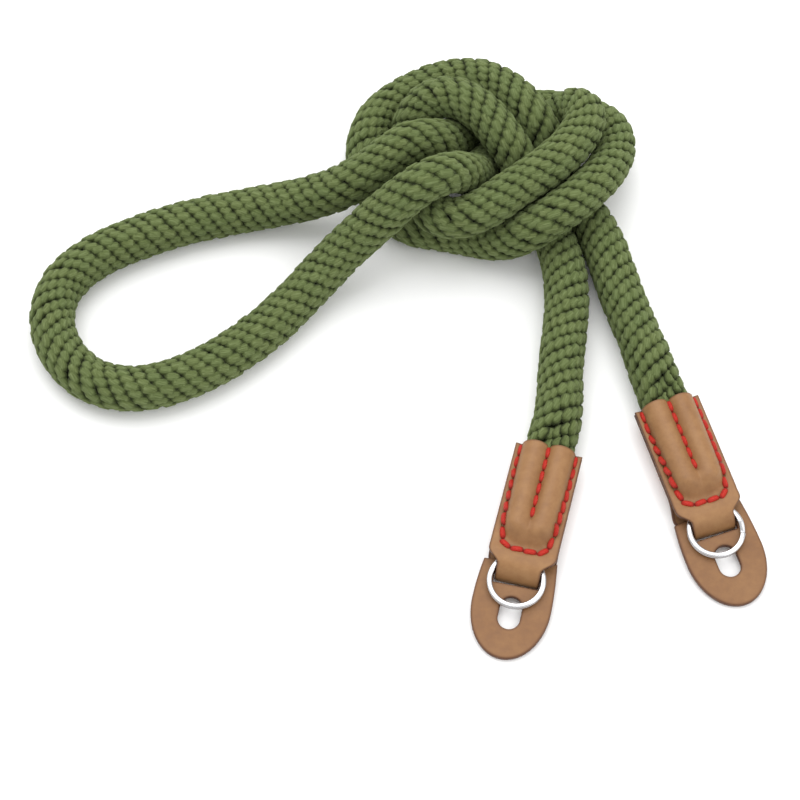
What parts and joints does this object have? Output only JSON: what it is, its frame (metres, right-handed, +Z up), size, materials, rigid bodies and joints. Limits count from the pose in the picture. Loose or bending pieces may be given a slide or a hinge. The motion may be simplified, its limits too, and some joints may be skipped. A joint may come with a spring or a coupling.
{
  "type": "camera strap",
  "caption": "Round cotton rope camera strap, folded double and tied in a doubled overhand knot, with sewn leather ends, guard flaps and split rings.",
  "frame": {"origin": "middle of the lying strap's box, on the surface that it rests on", "axes": "+Z up from the surface; X along the length of the whole lying strap, -X towards the wrist loop; -Y towards the leather ends"},
  "size_m": [0.1964, 0.1771, 0.0349],
  "materials": {
    "cotton_rope": "soft knitted cotton, matt",
    "tan_leather": "smooth tan leather, low sheen",
    "polished_steel": "polished"
  },
  "bodies": {
    "root": {"rope": "cotton_rope", "tab_left": "tan_leather", "tab_right": "tan_leather", "flap_left": "tan_leather", "flap_right": "tan_leather", "ring_left": "polished_steel", "ring_right": "polished_steel"}
  },
  "joints": []
}
